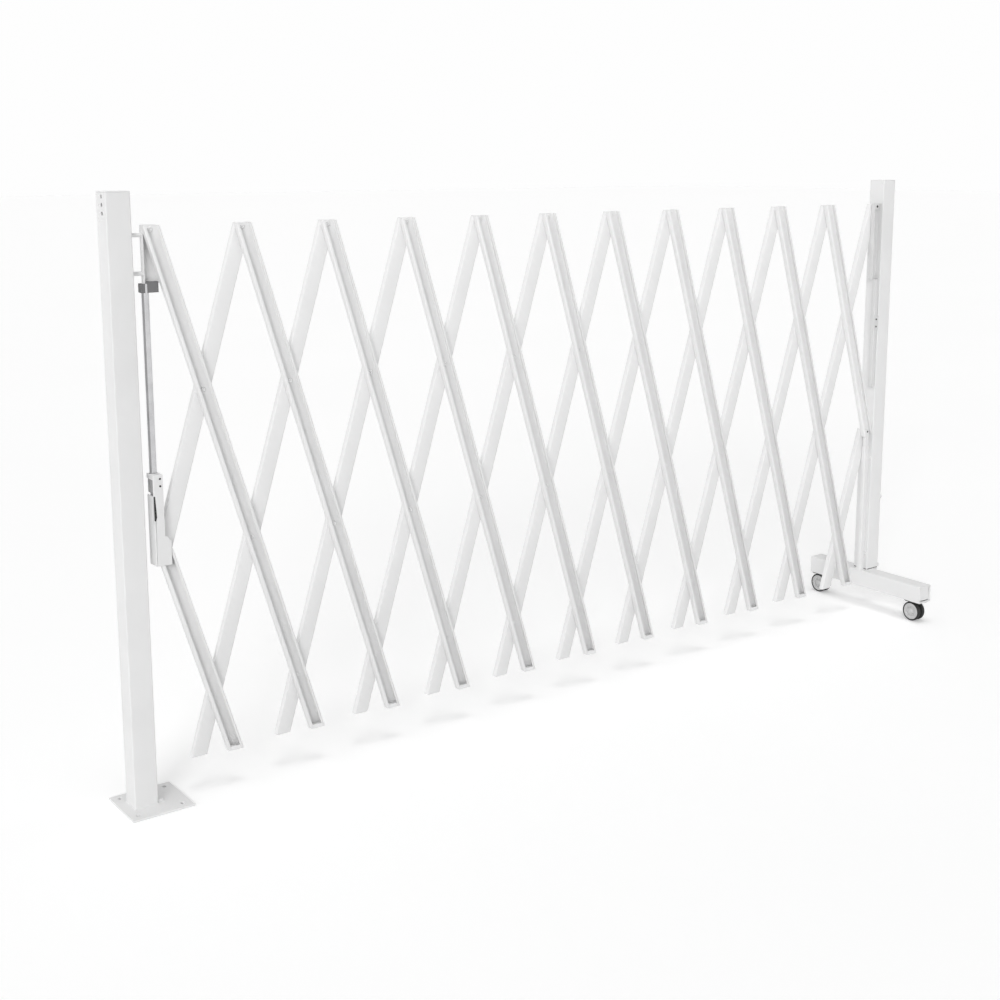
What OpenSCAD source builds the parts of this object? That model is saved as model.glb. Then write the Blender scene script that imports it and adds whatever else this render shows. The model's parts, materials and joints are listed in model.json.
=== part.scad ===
// Expandable safety barrier: a scissor lattice of folded channels hung between
// a fixed post on a base plate and a mobile post on a beam with two castors.
// Frame: X from the fixed post to the mobile post, Z up, the viewer is at minus Y.
// The origin is on the floor, under the axis of the fixed post.

/* [Posts] */
// Height of both posts above the floor
post_h = 1510; // [1400:1:1600]
// Side of the square post tube
post_w = 60; // [58:1:62]
// Wall of the post tube
post_wall = 2.5; // [2:0.1:3]
// Thickness of the top cap
cap_t = 3; // [2:0.5:5]

/* [Base plate] */
// Side of the square base plate
plate_w = 160; // [150:1:170]
// Thickness of the base plate
plate_t = 6; // [5:0.5:8]
// Distance between floor bolt holes, both ways
plate_pitch = 116; // [110:1:120]
// Diameter of a floor bolt hole
plate_hole_d = 11; // [9:0.5:13]
// Shift of the plate from the post axis towards the lattice
plate_dx = 22; // [18:1:26]
// Shift of the plate from the post axis towards the viewer
plate_dy = 5; // [0:1:8]

/* [Lattice] */
// Pivot distance along a bar
bar_pitch = 409; // [400:1:412]
// Angle of a bar from the vertical as photographed
rest_angle = 16.835; // [16.5:0.005:18]
// Drop from the post top to the top pivots
top_drop = 89; // [75:1:95]
// Top pivot to the axis of the fixed post
fixed_offset = 80; // [78:1:84]
// Top pivot to the axis of the mobile post
mobile_offset = 56; // [55:1:60]

/* [Bars] */
// Width of the bar channel
bar_w = 40; // [37:1:40]
// Depth of the bar channel
bar_d = 17.5; // [16:0.5:17.5]
// Sheet thickness of the bar
bar_t = 1.6; // [1.5:0.1:2]
// Width of the turned-in lip along each flange
bar_lip = 7.5; // [6:0.5:7.5]
// Inner radius of the folds of a bar
bar_bend = 1; // [0.8:0.1:1.4]
// Bar end above a top pivot
bar_head = 10; // [9:0.5:12]
// Bar end below a bottom pivot
bar_foot = 161; // [140:1:165]
// Bar end below the pivot of a slider
bar_stub = 12; // [11:0.5:13]
// Gap between the webs of crossing bars
web_gap = 0.5; // [0.4:0.1:0.6]

/* [Rivets] */
// Diameter of the rivet shank
rivet_d = 8; // [7:0.5:9]
// Diameter of the rivet head
head_d = 13; // [12:0.5:14]
// Height of the rivet head
head_h = 2.8; // [2:0.1:3]
// Radial clearance of a pivot that carries a bar
pivot_clear = 0.08; // [0.05:0.01:0.1]
// Radial clearance of the other pivots
open_clear = 0.4; // [0.3:0.05:0.5]

/* [Guides] */
// Diameter of the round guide rod beside the fixed post
rod_d = 18; // [17:0.5:18]
// Height of the slider beside the fixed post
slider_h = 226; // [220:1:230]
// Sheet thickness of brackets and sliders
sheet_t = 2.5; // [2:0.1:2.5]
// Drop from the slider pivot to the top of the guide tube beside the mobile post
tube_drop = 52; // [50:1:80]
// Width of the guide tube
tube_w = 20; // [20:0.5:21]

/* [Beam and castors] */
// Side of the square castor beam
beam_w = 60; // [58:1:61]
// Wall of the castor beam
beam_wall = 3; // [2.5:0.1:3.5]
// Front end of the beam, from the post axis
beam_front = 280; // [260:1:300]
// Rear end of the beam, from the post axis
beam_rear = 208; // [190:1:220]
// Shift of the beam axis from the post axis towards the lattice
beam_dx = 25; // [22:1:26]
// Diameter of a castor wheel
wheel_d = 67; // [62:1:70]
// Height of the swivel head, from the top of a wheel to the beam
swivel_h = 5; // [5:0.5:8]
// Width of one tyre of a twin castor
tyre_w = 13; // [12:0.5:14]

/* [Hidden] */
$fn = 48;

// Number of lattice cells between the end pivots
cells = 11;
// Pivot levels of a bar: 0 is the top, 3 is the bottom, 2 is where the sliders are
top_level = 0;
slider_level = 2;
foot_level = 3;

cell_w = 2 * bar_pitch * sin(rest_angle);
level_h = bar_pitch * cos(rest_angle);
top_z = post_h - top_drop;
slider_z = top_z - slider_level * level_h;
mobile_pivot_x = fixed_offset + cells * cell_w;
mobile_x = mobile_pivot_x + mobile_offset;

// The plane between the two layers of bars, and the faces of the webs
plane_y = -12;
front_web_y = plane_y - web_gap / 2;
back_web_y = plane_y + web_gap / 2;
rivet_r = rivet_d / 2;
tail_gap = 0.2;
// How far a cut runs past the face that it opens
spare = 1;

paint = [0.93, 0.93, 0.93];
steel = [0.62, 0.63, 0.65];
dark = [0.12, 0.12, 0.13];
grey = [0.55, 0.56, 0.57];

function top_x(k) = fixed_offset + k * cell_w;

// True where the pivot of front bar f and back bar b carries one of them.
// Every third bar carries the bars that cross it, and the ends have their own.
function carries(f, b) =
    !(f == 10 && b == 12) && (f % 3 == 0 || b % 3 == 0 || f == -1 || f == 11 || (f == 10 && b == 11));

// A round bar along Y from y0 to y1
module pin_y(y0, y1, r) {
    translate([0, y0, 0])
        rotate([-90, 0, 0])
            cylinder(h = y1 - y0, r = r);
}

// A round bar along X from x0 to x1
module pin_x(x0, x1, r) {
    translate([x0, 0, 0])
        rotate([0, 90, 0])
            cylinder(h = x1 - x0, r = r);
}

// A box from its lowest to its highest corner
module span(low, high) {
    translate(low)
        cube(high - low);
}

// A rectangle about the Y axis with its base on the X axis and round corners
module round_rect(width, depth, r) {
    translate([-width / 2 + r, 0])
        square([width - 2 * r, depth]);
    translate([-width / 2, r])
        square([width, depth - 2 * r]);
    for (x = [-width / 2 + r, width / 2 - r], y = [r, depth - r])
        translate([x, y])
            circle(r = r);
}

// Inner radius of the corners of tubes and brackets
corner_in = 0.5;

// Section of a rectangular tube, placed as the rectangle above
module tube_section(width, depth, wall) {
    difference() {
        round_rect(width, depth, wall + corner_in);
        translate([0, wall])
            round_rect(width - 2 * wall, depth - 2 * wall, corner_in);
    }
}

// A square tube standing on z0
module square_tube(side, wall, z0, z1) {
    translate([0, -side / 2, z0])
        linear_extrude(z1 - z0)
            tube_section(side, side, wall);
}

// Section of a bar: web on the X axis, open towards plus Y, lips turned in
module bar_section() {
    difference() {
        round_rect(bar_w, bar_d, bar_t + bar_bend);
        translate([0, bar_t])
            round_rect(bar_w - 2 * bar_t, bar_d - 2 * bar_t, bar_bend);
        translate([-bar_w / 2 + bar_lip, bar_t])
            square([bar_w - 2 * bar_lip, bar_d]);
    }
}

// Section of a folded bracket: web on the X axis, two flanges towards plus Y
module bracket_section(width, depth) {
    difference() {
        round_rect(width, 2 * depth, sheet_t + corner_in);
        translate([0, sheet_t])
            round_rect(width - 2 * sheet_t, 2 * depth, corner_in);
        translate([-width, depth])
            square([2 * width, 2 * depth]);
    }
}

// A bar hanging from its top pivot, from level n0 to level n1.
// The head is cut level at rest, the foot is cut square.
module bar_blank(n0, n1, tilt) {
    foot = n1 == foot_level ? bar_foot : bar_stub;
    over = bar_w;
    difference() {
        translate([0, 0, -n1 * bar_pitch - foot])
            linear_extrude((n1 - n0) * bar_pitch + foot + over)
                bar_section();
        translate([0, 0, -n0 * bar_pitch])
            rotate([0, -tilt, 0])
                translate([-2 * bar_w, -bar_w, bar_head])
                    cube([4 * bar_w, 3 * bar_w, 3 * bar_w]);
    }
}

// A front bar is open to the viewer and runs from top left to bottom right
module front_bar(k, n0 = top_level, n1 = foot_level) {
    color(paint)
        translate([top_x(k), 0, top_z])
            rotate([0, -rest_angle, 0])
                difference() {
                    translate([0, front_web_y, 0])
                        mirror([0, 1, 0])
                            bar_blank(n0, n1, -rest_angle);
                    for (n = [n0:n1])
                        translate([0, 0, -n * bar_pitch])
                            pin_y(front_web_y - bar_d, back_web_y, k < 0 && n == n0 ? rivet_r + open_clear : rivet_r);
                }
}

// A back bar shows its web and runs from top right to bottom left
module back_bar(k, n0 = top_level, n1 = foot_level) {
    color(paint)
        translate([top_x(k), 0, top_z])
            rotate([0, rest_angle, 0])
                difference() {
                    translate([0, back_web_y, 0])
                        bar_blank(n0, n1, rest_angle);
                    for (n = [n0:n1])
                        translate([0, 0, -n * bar_pitch])
                            pin_y(front_web_y, back_web_y + bar_d,
                                rivet_r + (carries(k - n, k) ? pivot_clear : open_clear));
                }
}

// One rivet: a shank through both webs, a domed head in front, a flat tail behind
module rivet(y_head = front_web_y - bar_t, y_tail = back_web_y + bar_t + tail_gap) {
    dome_h = head_h / 2;
    pin_y(y_head, y_tail, rivet_r);
    pin_y(y_head - dome_h, y_head, head_d / 2);
    translate([0, y_head - dome_h, 0])
        rotate([90, 0, 0])
            cylinder(h = head_h - dome_h, r1 = head_d / 2, r2 = head_d / 3);
    pin_y(y_tail, y_tail + head_h, head_d / 2 - 0.5);
}

// The rivets of front bar k, from level n0 to level n1
module bar_rivets(k, n0, n1) {
    for (n = [n0:n1])
        translate([top_x(k) + n * cell_w / 2, 0, top_z - n * level_h])
            rivet();
}

module rivets(k) {
    color(steel)
        bar_rivets(k, top_level, foot_level);
}

// The first bar turns on a long pin through the boss of the top bracket
module rivets_0() {
    color(steel) {
        bar_rivets(0, top_level + 1, foot_level);
        translate([top_x(0), 0, top_z])
            rivet(y_tail = bracket_back + tail_gap);
    }
}

// The last bar ends on the pin of the mobile slider
module rivets_10() {
    color(steel) {
        bar_rivets(10, top_level, slider_level - 1);
        translate([mobile_pivot_x, 0, slider_z]) {
            pin_y(stem_front - tail_gap, back_web_y + bar_t + tail_gap, rivet_r);
            translate([0, back_web_y + bar_t + tail_gap, 0])
                pin_y(0, head_h, head_d / 2);
        }
    }
}

module rivet_short() {
    color(steel)
        bar_rivets(-1, foot_level, foot_level);
}

// Fixed post

// Latch holes on the outer face of the fixed post: heights below the post top
latch_hole_d = 10;
latch_hole_y = -4;
latch_first = 12;
latch_pitch = 19.5;
// Shallow pressed slot below them
slot_l = 42;
slot_h = 6;
slot_deep = 1;
slot_drop = 66;
pilot_d = 3;

module fixed_post() {
    color(paint)
        difference() {
            square_tube(post_w, post_wall, plate_t, post_h - cap_t);
            translate([0, latch_hole_y, post_h - latch_first])
                for (i = [0:2])
                    translate([0, 0, -i * latch_pitch])
                        pin_x(-post_w, 0, latch_hole_d / 2);
            translate([-post_w / 2, latch_hole_y / 2, post_h - slot_drop])
                cube([2 * slot_deep, slot_l, slot_h], center = true);
            translate([0, -3 * latch_hole_y, post_h - latch_first - latch_pitch])
                pin_x(-post_w, 0, pilot_d / 2);
        }
}

// A cap plate with a plug down inside the tube
plug_h = 12;
plug_gap = 0.2;

module post_cap() {
    color(paint) {
        translate([0, -post_w / 2, post_h - cap_t])
            linear_extrude(cap_t)
                round_rect(post_w, post_w, post_wall + corner_in);
        square_tube(post_w - 2 * (post_wall + plug_gap), post_wall, post_h - cap_t - plug_h, post_h - cap_t);
    }
}

module fixed_post_cap() {
    difference() {
        post_cap();
        // The upper latch hole opens through the plug
        translate([0, latch_hole_y, post_h - latch_first])
            pin_x(-post_w, 0, latch_hole_d / 2);
    }
}

tab_l = 16;
tab_w = 20;

module base_plate() {
    color(paint) {
        difference() {
            translate([plate_dx, -plate_dy, plate_t / 2])
                cube([plate_w, plate_w, plate_t], center = true);
            for (sx = [-1, 1], sy = [-1, 1])
                translate([plate_dx + sx * plate_pitch / 2, -plate_dy + sy * plate_pitch / 2, -spare])
                    cylinder(h = plate_t + 2 * spare, r = plate_hole_d / 2);
        }
        // Weld tab at the foot of the post
        span([post_w / 2, -post_w / 2 + tab_w / 4, plate_t],
            [post_w / 2 + tab_l, -post_w / 2 + tab_w * 5 / 4, 2 * plate_t]);
    }
}

// Fittings beside the fixed post

// Top bracket: a channel open to the viewer behind the first bar
bracket_w = 38;
bracket_h = 137;
bracket_top = top_z + bar_head;
bracket_low = bracket_top - bracket_h;
bracket_back = back_web_y + bar_d;
boss_d = 16;
standoff_d = 10;
// Height of the two stand-offs above and below the middle of a bracket
standoff_rise = 45;
rod_back = 14.5;
rod_x = fixed_offset - rod_back;
rod_y = plane_y + rod_d / 2;

module fixed_top_bracket() {
    left = fixed_offset - bracket_w / 2;
    color(paint) {
        difference() {
            union() {
                translate([fixed_offset, bracket_back, bracket_low])
                    mirror([0, 1, 0])
                        linear_extrude(bracket_h)
                            bracket_section(bracket_w, bracket_back - back_web_y);
                translate([fixed_offset, 0, top_z])
                    pin_y(back_web_y, bracket_back - sheet_t / 2, boss_d / 2);
            }
            translate([fixed_offset, 0, top_z])
                pin_y(back_web_y - spare, bracket_back + spare, rivet_r + pivot_clear);
        }
        for (s = [-1, 1])
            translate([0, (back_web_y + bracket_back) / 2, bracket_low + bracket_h / 2 + s * standoff_rise])
                pin_x(post_w / 2, left, standoff_d / 2);
    }
}

// Bush block that holds the top of the guide rod
bush_h = 26;
bush_up = 4;
// Wall of the bush behind the rod
bush_wall = 3.5;

module rod_bush() {
    left = fixed_offset - bracket_w / 2 + sheet_t;
    color(grey)
        difference() {
            union() {
                span([rod_x - rod_d / 2 - sheet_t, back_web_y, bracket_low - bush_h + bush_up],
                    [fixed_offset + bracket_w / 2 - sheet_t, rod_y + rod_d / 2 + bush_wall, bracket_low]);
                span([left, back_web_y, bracket_low - 1],
                    [fixed_offset + bracket_w / 2 - sheet_t, bracket_back - sheet_t, bracket_low + bush_up]);
            }
            translate([rod_x, rod_y, bracket_low - bush_h - spare])
                cylinder(h = bush_h + spare, r = rod_d / 2);
        }
}

module fixed_guide_rod() {
    color(steel)
        translate([rod_x, rod_y, rod_low])
            cylinder(h = bracket_low - rod_low, r = rod_d / 2);
}

// Slider on the rod: wall towards the post, front flange, top plate and pivot pin
slider_foot = 27;
slider_gap = 4.5;
slider_w = 25;
slider_low = slider_z - slider_foot;
slider_top = slider_low + slider_h;
slider_left = rod_x - rod_d / 2 - slider_gap;
slider_right = slider_left + slider_w;
slider_bush_h = 44;
// The rod ends inside the slider, below its bush when the lattice is folded
rod_spare = 40;
rod_low = slider_top - sheet_t - slider_bush_h - rod_spare;
// Front flange just clear of the front edges of the short bar
flange_back = front_web_y - bar_d - 0.5;
flange_front = flange_back - sheet_t;
slider_back = back_web_y + bar_d;
eye_h = 74;
window_drop = 12;
window_h = 40;
window_w = 22;
slit_h = 70;
slit_w = 4;
screw_d = 4;
screw_drop = 10;
screw_pitch = 18;
screw_edge = 7.5;

module fixed_slider() {
    color(paint) {
        difference() {
            union() {
                // Wall towards the post
                span([slider_left, flange_back, slider_low], [slider_left + sheet_t, slider_back, slider_top]);
                // Fold between the wall and the front flange
                intersection() {
                    translate([slider_left + sheet_t, flange_back, slider_low])
                        cylinder(h = slider_h, r = sheet_t);
                    span([slider_left, flange_front, slider_low], [slider_left + sheet_t, flange_back, slider_top]);
                }
                // Front flange
                span([slider_left + sheet_t, flange_front, slider_low], [slider_right, flange_back, slider_top]);
                // Eye of the flange in front of the pivot
                span([slider_left + sheet_t, flange_front, slider_low],
                    [fixed_offset + head_d - 1, flange_back, slider_low + eye_h - head_d]);
                translate([slider_right - sheet_t, 0, slider_low + eye_h - head_d])
                    pin_y(flange_front, flange_back, head_d);
                // Top plate round the rod
                span([slider_left + sheet_t, flange_back, slider_top - sheet_t], [slider_right, slider_back, slider_top]);
            }
            translate([rod_x, rod_y, slider_top - 2 * sheet_t])
                cylinder(h = 3 * sheet_t, r = rod_d / 2 + 1);
            // Window in the wall, in front of the bush
            span([slider_left - spare, rod_y - window_w / 2, slider_top - window_drop - window_h],
                [slider_left + sheet_t + spare, rod_y + window_w / 2, slider_top - window_drop]);
            // Slit beside the front flange
            span([slider_left - spare, flange_back, slider_top - window_drop - window_h - slit_h],
                [slider_left + sheet_t + spare, flange_back + slit_w, slider_top - window_drop - window_h]);
            // Bush screws
            for (i = [0, 1])
                translate([slider_right - screw_edge, 0, slider_top - screw_drop - i * screw_pitch])
                    pin_y(flange_front - spare, flange_back + spare, screw_d / 2);
        }
        translate([fixed_offset, 0, slider_z]) {
            pin_y(flange_back, back_web_y + bar_t + tail_gap, rivet_r);
            pin_y(back_web_y + bar_t + tail_gap, back_web_y + bar_t + tail_gap + head_h, head_d / 2);
        }
    }
}

// Plastic bush of the slider, running on the rod
rod_run = 0.08;

module slider_bush() {
    color(grey)
        difference() {
            span([slider_left + sheet_t, flange_back, slider_top - sheet_t - slider_bush_h],
                [slider_right - 0.5, slider_back, slider_top - sheet_t]);
            translate([rod_x, rod_y, slider_top - sheet_t - slider_bush_h - spare])
                cylinder(h = slider_bush_h + 2 * spare, r = rod_d / 2 + rod_run);
        }
}

// Mobile post and the fittings beside it

castor_h = wheel_d + swivel_h;
beam_low = castor_h;
beam_top = beam_low + beam_w;
tube_top = slider_z - tube_drop;
post_face = mobile_x - post_w / 2;
pilot_drop = 10;

module mobile_post() {
    color(paint)
        translate([mobile_x, 0, 0])
            difference() {
                square_tube(post_w, post_wall, beam_top, post_h - cap_t);
                translate([0, -post_w / 2 + 8, post_h - pilot_drop])
                    pin_x(-post_w, 0, pilot_d / 2);
            }
}

module mobile_post_cap() {
    difference() {
        translate([mobile_x, 0, 0])
            post_cap();
        translate([mobile_x, -post_w / 2 + 8, post_h - pilot_drop])
            pin_x(-post_w, 0, pilot_d / 2);
    }
}

// Top bracket: a channel open to the viewer in front of the last back bar
mobile_bracket_w = 36;
mobile_bracket_h = 258;
mobile_bracket_reach = 15;
mobile_bracket_left = mobile_pivot_x - mobile_bracket_reach;

module mobile_top_bracket() {
    left = mobile_bracket_left;
    right = left + mobile_bracket_w;
    low = bracket_top - mobile_bracket_h;
    front = front_web_y - bar_d;
    color(paint) {
        translate([(left + right) / 2, front_web_y, low])
            mirror([0, 1, 0])
                linear_extrude(mobile_bracket_h)
                    bracket_section(mobile_bracket_w, front_web_y - front);
        // Pivot pin through the back bar, with its boss in the channel
        translate([mobile_pivot_x, 0, top_z]) {
            pin_y(front + 3, front_web_y - sheet_t, bar_head);
            pin_y(front_web_y, back_web_y + bar_t + tail_gap, rivet_r);
            pin_y(back_web_y + bar_t + tail_gap, back_web_y + bar_t + tail_gap + head_h, head_d / 2);
        }
        for (s = [-1, 1])
            translate([0, (front + front_web_y) / 2, low + mobile_bracket_h / 2 + 2 * s * standoff_rise])
                pin_x(right, post_face, standoff_d / 2);
    }
}

// Guide rail below the bracket, clamped to the post by a collar
rail_w = 16;
rail_wall = 1.5;
rail_rise = 210;
rail_low = tube_top + rail_rise;
rail_left = mobile_pivot_x + 6;
collar_rise = 200;
collar_z = rail_low + collar_rise;
collar_h = 50;
collar_t = 2;
collar_screw_d = 5;

module mobile_guide_rail() {
    low_bracket = bracket_top - mobile_bracket_h;
    front = front_web_y - bar_d;
    color(paint) {
        translate([rail_left + rail_w / 2, front, rail_low])
            linear_extrude(low_bracket - rail_low)
                tube_section(rail_w, rail_w, rail_wall);
        // Collar round the rail, with two screw holes
        difference() {
            span([rail_left - collar_t, front - collar_t, collar_z],
                [post_face, front + rail_w, collar_z + collar_h]);
            span([rail_left + rail_wall, front + rail_wall, collar_z - spare],
                [rail_left + rail_w - rail_wall, front + rail_w - rail_wall, collar_z + collar_h + spare]);
            for (i = [0, 1])
                translate([rail_left + rail_w / 2, 0, collar_z + collar_h / 4 + i * collar_h / 2])
                    pin_y(front - collar_t - spare, front + spare, collar_screw_d / 2);
        }
    }
}

// Guide tube beside the mobile post, standing on the beam
tube_wall = 2;
tube_front = front_web_y - bar_d;
tube_back = front_web_y - 0.35;
// The spacers keep their distances from the beam and from the tube's top
spacer_rise = 60;
spacer_drop = 46;
spacer_low = beam_top + spacer_rise;
spacer_high = tube_top - spacer_drop;

module mobile_guide_tube() {
    right = mobile_pivot_x + tube_w / 2;
    color(paint) {
        translate([mobile_pivot_x, tube_front, beam_top])
            linear_extrude(tube_top - beam_top)
                tube_section(tube_w, tube_back - tube_front, tube_wall);
        for (z = [spacer_low, spacer_high])
            translate([0, (tube_front + tube_back) / 2, z])
                pin_x(right, post_face, standoff_d / 2);
    }
}

// Slider of the mobile side: a stem in the guide tube with a round lug in the end of the last bar
stem_gap = 0.3;
stem_l = 200;
stem_front = tube_front + tube_wall + stem_gap;
stem_back = tube_back - tube_wall - stem_gap;
stem_w = tube_w - 2 * (tube_wall + stem_gap);

module mobile_slider() {
    color(paint)
        translate([mobile_pivot_x, 0, slider_z])
            difference() {
                union() {
                    span([-stem_w / 2, stem_front, -stem_l], [stem_w / 2, stem_back, 0]);
                    pin_y(stem_front, front_web_y - bar_t - stem_gap, stem_w / 2);
                }
                pin_y(stem_front - spare, front_web_y, rivet_r + pivot_clear);
            }
}

module castor_beam() {
    color(paint)
        translate([mobile_x - beam_dx, beam_rear, beam_low + beam_w / 2])
            rotate([90, 0, 0])
                square_tube(beam_w, beam_wall, 0, beam_front + beam_rear);
}

// Gusset towards the lattice and ledge under the overhang of the post
gusset_t = 5;
gusset_h = 30;
ledge_h = 8;

module foot_gussets() {
    beam_left = mobile_x - beam_dx - beam_w / 2;
    beam_right = beam_left + beam_w;
    color(paint) {
        translate([0, gusset_t / 2, 0])
            rotate([90, 0, 0])
                linear_extrude(gusset_t)
                    polygon([[beam_left, beam_top], [post_face, beam_top], [post_face, beam_top + gusset_h]]);
        span([beam_right, -post_w / 2 + 2, beam_top - ledge_h], [mobile_x + post_w / 2, post_w / 2 - 2, beam_top]);
    }
}

// Knob of the latch on the outer face of the mobile post
knob_d = 18;
knob_l = 12;
knob_z = 390;
knob_y = -16;

module latch_knob() {
    color(paint)
        translate([mobile_x, knob_y, knob_z]) {
            pin_x(post_w / 2, post_w / 2 + knob_l / 3, knob_d / 3);
            pin_x(post_w / 2 + knob_l / 3, post_w / 2 + knob_l, knob_d / 2);
        }
}

// Castors: a plate on the beam, a swivelling leg and two wheels on one axle

castor_x = mobile_x - beam_dx;
castor_inset = 36;
castor_ys = [-beam_front + castor_inset, beam_rear - castor_inset];
plate_l = 62;
castor_plate_w = 50;
castor_plate_t = 3;
castor_trail = 8;
leg_w = 9.4;
stem_d = 14;
axle_d = 8;
tread_t = 5.5;
hub_d = wheel_d - 2 * tread_t;
dish_rim = 6;
dish_d = hub_d - 2 * dish_rim;
dish_t = 2;
boss_hub_d = 22;
wheel_gap = 0.6;
collar_d = 30;
top_gap = 0.3;

module castor_plates() {
    color(dark)
        for (y = castor_ys)
            translate([castor_x, y, castor_h - castor_plate_t / 2])
                difference() {
                    cube([castor_plate_w, plate_l, castor_plate_t], center = true);
                    translate([0, 0, -castor_plate_t])
                        cylinder(h = 2 * castor_plate_t, r = stem_d / 2 + pivot_clear);
                }
}

// Leg between the wheels with the swivel stem on top
module castor_leg(y) {
    leg_top = castor_h - castor_plate_t - top_gap;
    collar_low = wheel_d + top_gap;
    axle_z = wheel_d / 2;
    color(dark)
        translate([castor_x, y, 0])
            difference() {
                union() {
                    translate([0, 0, collar_low])
                        cylinder(h = leg_top - collar_low, r = collar_d / 2);
                    translate([0, 0, leg_top - 1])
                        cylinder(h = castor_h - leg_top + 1 - top_gap, r = stem_d / 2);
                    span([-leg_w / 2, -collar_d / 3, axle_z], [leg_w / 2, collar_d / 3 + castor_trail, collar_low]);
                    // Round body between the wheels
                    translate([0, castor_trail, axle_z])
                        pin_x(-leg_w / 2, leg_w / 2, hub_d / 2);
                }
                translate([0, castor_trail, axle_z])
                    pin_x(-leg_w, leg_w, axle_d / 2 + pivot_clear);
            }
}

// Two hub discs on one axle
module castor_wheels(y) {
    inner = leg_w / 2 + wheel_gap;
    half = tyre_w / 2 - 1;
    color([0.82, 0.83, 0.84])
        translate([castor_x, y + castor_trail, wheel_d / 2]) {
            pin_x(-inner - tyre_w / 2 - half, inner + tyre_w / 2 + half, axle_d / 2);
            for (s = [-1, 1])
                translate([s * (inner + tyre_w / 2), 0, 0])
                    difference() {
                        pin_x(-half, half, hub_d / 2);
                        // Dished ring in the outer face, round the boss
                        translate([s * half, 0, 0])
                            difference() {
                                pin_x(-dish_t, dish_t, dish_d / 2);
                                pin_x(-tyre_w, tyre_w, boss_hub_d / 2);
                            }
                    }
        }
}

module castor_tyres(y) {
    inner = leg_w / 2 + wheel_gap;
    color(dark)
        translate([castor_x, y + castor_trail, wheel_d / 2])
            for (s = [-1, 1])
                translate([s * (inner + tyre_w / 2), 0, 0])
                    difference() {
                        pin_x(-tyre_w / 2, tyre_w / 2, wheel_d / 2);
                        pin_x(-tyre_w, tyre_w, hub_d / 2);
                    }
}

fixed_post();
fixed_post_cap();
base_plate();
fixed_top_bracket();
rod_bush();
fixed_guide_rod();
fixed_slider();
slider_bush();
front_bar(-1, n0 = slider_level);  // front_bar_short
front_bar(0);  // front_bar_0
front_bar(1);  // front_bar_1
front_bar(2);  // front_bar_2
front_bar(3);  // front_bar_3
front_bar(4);  // front_bar_4
front_bar(5);  // front_bar_5
front_bar(6);  // front_bar_6
front_bar(7);  // front_bar_7
front_bar(8);  // front_bar_8
front_bar(9);  // front_bar_9
front_bar(10, n1 = slider_level);  // front_bar_10
back_bar(1, n1 = slider_level);  // back_bar_1
back_bar(2);  // back_bar_2
back_bar(3);  // back_bar_3
back_bar(4);  // back_bar_4
back_bar(5);  // back_bar_5
back_bar(6);  // back_bar_6
back_bar(7);  // back_bar_7
back_bar(8);  // back_bar_8
back_bar(9);  // back_bar_9
back_bar(10);  // back_bar_10
back_bar(11);  // back_bar_11
back_bar(12, n0 = slider_level);  // back_bar_short
rivet_short();
rivets_0();
rivets(1);  // rivets_1
rivets(2);  // rivets_2
rivets(3);  // rivets_3
rivets(4);  // rivets_4
rivets(5);  // rivets_5
rivets(6);  // rivets_6
rivets(7);  // rivets_7
rivets(8);  // rivets_8
rivets(9);  // rivets_9
rivets_10();
mobile_post();
mobile_post_cap();
mobile_top_bracket();
mobile_guide_rail();
mobile_guide_tube();
mobile_slider();
castor_beam();
foot_gussets();
latch_knob();
castor_plates();
castor_leg(castor_ys[0]);  // front_castor_leg
castor_wheels(castor_ys[0]);  // front_castor_wheels
castor_tyres(castor_ys[0]);  // front_castor_tyres
castor_leg(castor_ys[1]);  // rear_castor_leg
castor_wheels(castor_ys[1]);  // rear_castor_wheels
castor_tyres(castor_ys[1]);  // rear_castor_tyres
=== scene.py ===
# Expandable safety barrier: finished pieces, materials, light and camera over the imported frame.
import json
import math

import bmesh
import bpy
from mathutils import Matrix, Vector


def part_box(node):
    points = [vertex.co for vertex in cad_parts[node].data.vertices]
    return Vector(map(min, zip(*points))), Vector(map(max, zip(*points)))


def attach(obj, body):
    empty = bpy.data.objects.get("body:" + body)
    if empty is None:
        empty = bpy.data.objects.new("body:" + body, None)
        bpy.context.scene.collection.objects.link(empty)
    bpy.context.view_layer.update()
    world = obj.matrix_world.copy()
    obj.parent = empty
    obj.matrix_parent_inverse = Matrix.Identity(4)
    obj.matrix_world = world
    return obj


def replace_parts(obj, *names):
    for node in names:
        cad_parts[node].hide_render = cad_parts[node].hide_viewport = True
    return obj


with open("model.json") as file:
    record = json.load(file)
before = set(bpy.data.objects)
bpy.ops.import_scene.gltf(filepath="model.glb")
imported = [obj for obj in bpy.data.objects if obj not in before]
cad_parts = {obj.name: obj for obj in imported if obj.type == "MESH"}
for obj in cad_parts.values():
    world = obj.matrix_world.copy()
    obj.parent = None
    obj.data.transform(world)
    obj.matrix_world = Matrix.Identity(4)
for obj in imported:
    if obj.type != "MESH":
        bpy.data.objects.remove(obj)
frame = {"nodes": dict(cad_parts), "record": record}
nodes = frame["nodes"]
record = frame["record"]
joint_at = {j["name"]: Vector(j["pos_m"]) for j in record["behaviour"]["joints"]}
body_of_node = {n: body for body, names in record["behaviour"]["bodies"].items() for n in names}
slot_of_node = {s["node"]: s["material_slot"] for s in record["subparts"]}
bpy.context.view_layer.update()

MM = 0.001
X, Y, Z = Vector((1, 0, 0)), Vector((0, 1, 0)), Vector((0, 0, 1))

# Folded channels: section, what stands beyond the outermost pivots, and the bevel of cut ends
BAR_WIDTH = 40 * MM
BAR_DEPTH = 17.5 * MM
SHEET = 1.6 * MM
LIP = 7.5 * MM
BEND_OUT = 2.6 * MM
BEND_IN = 1.0 * MM
BAR_HEAD = 10 * MM
BAR_FOOT = 161 * MM
BAR_STUB = 12 * MM
BAR_BREAK = 0.25 * MM

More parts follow.
